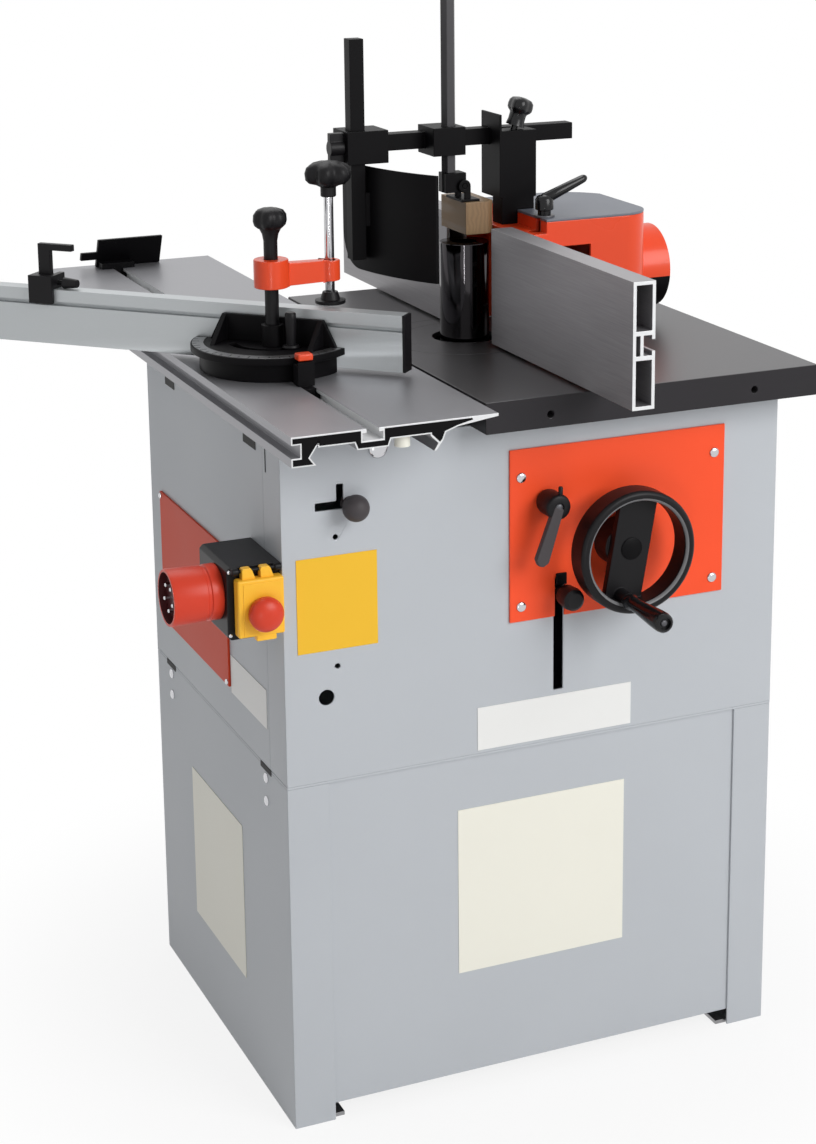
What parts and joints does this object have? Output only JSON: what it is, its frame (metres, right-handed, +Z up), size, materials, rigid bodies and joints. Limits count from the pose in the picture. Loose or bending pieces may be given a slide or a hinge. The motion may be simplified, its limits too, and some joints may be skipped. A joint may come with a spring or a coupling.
{
  "type": "spindle moulder with sliding table",
  "caption": "Floor-standing spindle moulder with a sheet-metal cabinet, cast table, sliding table with mitre gauge, dust hood with fences, curved guard and a handwheel for spindle height.",
  "frame": {"origin": "centre of the cabinet's footprint on the floor, between the four floor bolts", "axes": "+X right along the handwheel panel, +Y back along the feed, +Z up"},
  "size_m": [0.8436, 1.065, 1.267],
  "materials": {
    "cabinet_paint": "light grey paint",
    "orange_paint": "glossy orange paint",
    "dark_grey_paint": "grey-blue satin paint",
    "steel": "machined steel",
    "bright_steel": "bright plated steel",
    "cast_iron": "ground grey iron",
    "aluminium": "satin anodised",
    "black_plastic": "satin black",
    "black_paint": "satin black paint",
    "yellow_plastic": "glossy yellow",
    "red_plastic": "glossy red",
    "green_plastic": "glossy green",
    "rubber": "moulded belt rubber",
    "beech": "bare beech"
  },
  "bodies": {
    "cabinet": {"stand_sides": "cabinet_paint", "stand_panels": "cabinet_paint", "floor_plates": "steel", "cabinet_floor": "cabinet_paint", "cabinet_front_panel": "cabinet_paint", "cabinet_side_covers": "cabinet_paint", "cabinet_back_panel": "cabinet_paint", "control_plate": "orange_paint", "inlet_plate": "orange_paint", "panel_screws": "bright_steel", "switch_box": "black_plastic", "power_inlet": "red_plastic", "cast_table": "cast_iron", "table_rings": "steel", "guide_beam": "steel", "spindle_bracket": "cast_iron", "guide_columns": "steel", "hood_stud": "steel"},
    "switch_cover": {"switch_cover": "yellow_plastic"},
    "stop_button": {"stop_button": "red_plastic"},
    "start_button": {"start_button": "green_plastic"},
    "carriage": {"quill_housing": "cast_iron", "drive_motor": "black_paint", "drive_belt": "rubber"},
    "spindle": {"spindle_shaft": "steel", "spacer_rings": "steel"},
    "motor_rotor": {"motor_pulley": "cast_iron"},
    "lift_screw": {"lift_screw": "steel"},
    "handwheel": {"handwheel": "black_plastic"},
    "crank_handle": {"crank_handle": "black_plastic"},
    "tension_knob": {"tension_knob": "black_plastic"},
    "quill_clamp_lever": {"quill_clamp_lever": "black_plastic"},
    "lock_knob": {"lock_knob": "black_plastic"},
    "sliding_table": {"sliding_table": "aluminium"},
    "mitre_base": {"mitre_base": "black_paint"},
    "mitre": {"mitre_protractor": "black_paint", "mitre_bracket": "black_paint", "mitre_fence": "aluminium"},
    "mitre_grip": {"mitre_grip": "black_plastic"},
    "clamp_post": {"clamp_post": "black_plastic"},
    "clamp_arm": {"clamp_arm": "orange_paint"},
    "clamp_pad": {"clamp_pad": "black_plastic"},
    "clamp_screw": {"clamp_screw": "bright_steel"},
    "flip_stop": {"flip_stop": "black_plastic"},
    "flip_lever": {"flip_lever": "black_plastic"},
    "edging_shoe": {"edging_shoe": "black_paint"},
    "hood": {"hood_shell": "orange_paint", "hood_top_plate": "dark_grey_paint", "fence_bolts": "bright_steel", "guard_bracket": "black_paint"},
    "front_fence": {"front_fence": "aluminium"},
    "back_fence": {"back_fence": "aluminium"},
    "hood_lever": {"hood_lever": "black_plastic"},
    "star_knob": {"star_knob": "black_plastic"},
    "cross_bar": {"cross_bar": "black_paint"},
    "wing_knob": {"wing_knob": "black_plastic"},
    "guard": {"guard_post": "black_paint", "guard_sheet": "black_paint"},
    "pressure_rod": {"pressure_rod": "black_paint"},
    "pressure_shoe": {"pressure_shoe": "beech"}
  },
  "joints": [
    {"name": "handwheel_turn", "type": "hinge", "parent": "cabinet", "child": "handwheel", "pos_m": [0.0948, -0.295, 0.659], "axis": [0, -1, 0], "range_deg": [-6480, 0]},
    {"name": "crank_spin", "type": "hinge", "parent": "handwheel", "child": "crank_handle", "pos_m": [0.08125, -0.34, 0.60466], "axis": [0, 1, 0], "continuous": true},
    {"name": "lift_screw_turn", "type": "hinge", "parent": "cabinet", "child": "lift_screw", "pos_m": [0.0948, -0.07, 0.7], "axis": [0, 0, 1], "range_deg": [-6480, 0]},
    {"name": "carriage_lift", "type": "slide", "parent": "cabinet", "child": "carriage", "axis": [0, 0, 1], "range_m": [-0.09, 0]},
    {"name": "spindle_spin", "type": "hinge", "parent": "carriage", "child": "spindle", "pos_m": [0.028, 0.023, 0.7], "axis": [0, 0, 1], "continuous": true},
    {"name": "motor_spin", "type": "hinge", "parent": "carriage", "child": "motor_rotor", "pos_m": [0.192, 0.03, 0.65], "axis": [0, 0, 1], "continuous": true},
    {"name": "tension_knob_turn", "type": "hinge", "parent": "carriage", "child": "tension_knob", "pos_m": [0.024, -0.27, 0.606], "axis": [0, -1, 0], "range_deg": [-180, 180]},
    {"name": "quill_clamp_turn", "type": "hinge", "parent": "cabinet", "child": "quill_clamp_lever", "pos_m": [0.006, -0.268, 0.717], "axis": [0, -1, 0], "range_deg": [-60, 10]},
    {"name": "spindle_lock_slide", "type": "slide", "parent": "cabinet", "child": "lock_knob", "axis": [1, 0, 0], "range_m": [-0.03, 0]},
    {"name": "switch_cover_flip", "type": "hinge", "parent": "cabinet", "child": "switch_cover", "pos_m": [-0.3415, -0.2445, 0.682], "axis": [-1, 0, 0], "range_deg": [0, 110]},
    {"name": "stop_button_push", "type": "slide", "parent": "switch_cover", "child": "stop_button", "axis": [0, 1, 0], "range_m": [0, 0.003], "stiffness_N_per_m": 800, "springref_m": -0.002},
    {"name": "start_button_push", "type": "slide", "parent": "cabinet", "child": "start_button", "axis": [0, 1, 0], "range_m": [0, 0.003], "stiffness_N_per_m": 800, "springref_m": -0.002},
    {"name": "sliding_table_travel", "type": "slide", "parent": "cabinet", "child": "sliding_table", "axis": [0, 1, 0], "range_m": [-0.35, 0.18]},
    {"name": "mitre_base_slide", "type": "slide", "parent": "sliding_table", "child": "mitre_base", "axis": [0, 1, 0], "range_m": [-0.1, 0.25]},
    {"name": "mitre_turn", "type": "hinge", "parent": "mitre_base", "child": "mitre", "pos_m": [-0.2375, -0.025, 0.865], "axis": [0, 0, 1], "range_deg": [-5, 100]},
    {"name": "mitre_grip_turn", "type": "hinge", "parent": "mitre_base", "child": "mitre_grip", "pos_m": [-0.23172, -0.07205, 0.9], "axis": [0, 0, 1], "range_deg": [-180, 180]},
    {"name": "clamp_post_turn", "type": "hinge", "parent": "mitre", "child": "clamp_post", "pos_m": [-0.24528, -0.04834, 0.95], "axis": [0, 0, 1], "range_deg": [0, 90]},
    {"name": "clamp_arm_slide", "type": "slide", "parent": "clamp_post", "child": "clamp_arm", "axis": [0, 0, 1], "range_m": [-0.015, 0.02]},
    {"name": "clamp_pad_slide", "type": "slide", "parent": "clamp_arm", "child": "clamp_pad", "axis": [0, 0, 1], "range_m": [-0.04, 0]},
    {"name": "clamp_screw_turn", "type": "hinge", "parent": "clamp_pad", "child": "clamp_screw", "pos_m": [-0.17238, -0.04451, 1], "axis": [0, 0, 1], "range_deg": [-4800, 0]},
    {"name": "flip_stop_slide", "type": "slide", "parent": "mitre", "child": "flip_stop", "axis": [0.7071, -0.7071, 0], "range_m": [-0.03, 0.15]},
    {"name": "flip_lever_turn", "type": "hinge", "parent": "flip_stop", "child": "flip_lever", "pos_m": [-0.44751, 0.18925, 0.929], "axis": [-0.7071, 0.7071, 0], "range_deg": [0, 95]},
    {"name": "edging_shoe_slide", "type": "slide", "parent": "sliding_table", "child": "edging_shoe", "axis": [0, 1, 0], "range_m": [-0.25, 0]},
    {"name": "hood_slide", "type": "slide", "parent": "cabinet", "child": "hood", "axis": [1, 0, 0], "range_m": [-0.004, 0.015]},
    {"name": "front_fence_slide", "type": "slide", "parent": "hood", "child": "front_fence", "axis": [0, 1, 0], "range_m": [-0.06, 0.004]},
    {"name": "back_fence_slide", "type": "slide", "parent": "hood", "child": "back_fence", "axis": [0, 1, 0], "range_m": [-0.004, 0.06]},
    {"name": "hood_lever_turn", "type": "hinge", "parent": "cabinet", "child": "hood_lever", "pos_m": [0.103, -0.045, 1.015], "axis": [0, 0, 1], "range_deg": [-90, 45]},
    {"name": "star_knob_turn", "type": "hinge", "parent": "hood", "child": "star_knob", "pos_m": [0.094, 0.022, 1.1], "axis": [0.309, 0, 0.9511], "range_deg": [-180, 180]},
    {"name": "cross_bar_slide", "type": "slide", "parent": "hood", "child": "cross_bar", "axis": [1, 0, 0], "range_m": [-0.04, 0]},
    {"name": "wing_knob_turn", "type": "hinge", "parent": "cross_bar", "child": "wing_knob", "pos_m": [-0.135, 0.03, 1.0905], "axis": [1, 0, 0], "range_deg": [-180, 180]},
    {"name": "guard_slide", "type": "slide", "parent": "cross_bar", "child": "guard", "axis": [0, 0, 1], "range_m": [-0.08, 0.003]},
    {"name": "pressure_rod_slide", "type": "slide", "parent": "cross_bar", "child": "pressure_rod", "axis": [0, 0, 1], "range_m": [0, 0.02]},
    {"name": "pressure_shoe_tilt", "type": "hinge", "parent": "pressure_rod", "child": "pressure_shoe", "pos_m": [0.026, 0.031, 1.036], "axis": [0, 1, 0], "range_deg": [0, 12]}
  ],
  "couplings": [
    {"joint": "handwheel_turn", "follows": "carriage_lift", "rad_per_m": 1256.6},
    {"joint": "lift_screw_turn", "follows": "carriage_lift", "rad_per_m": 1256.6},
    {"joint": "motor_spin", "follows": "spindle_spin", "ratio": 0.68966},
    {"joint": "clamp_screw_turn", "follows": "clamp_pad_slide", "rad_per_m": 2094.4}
  ]
}
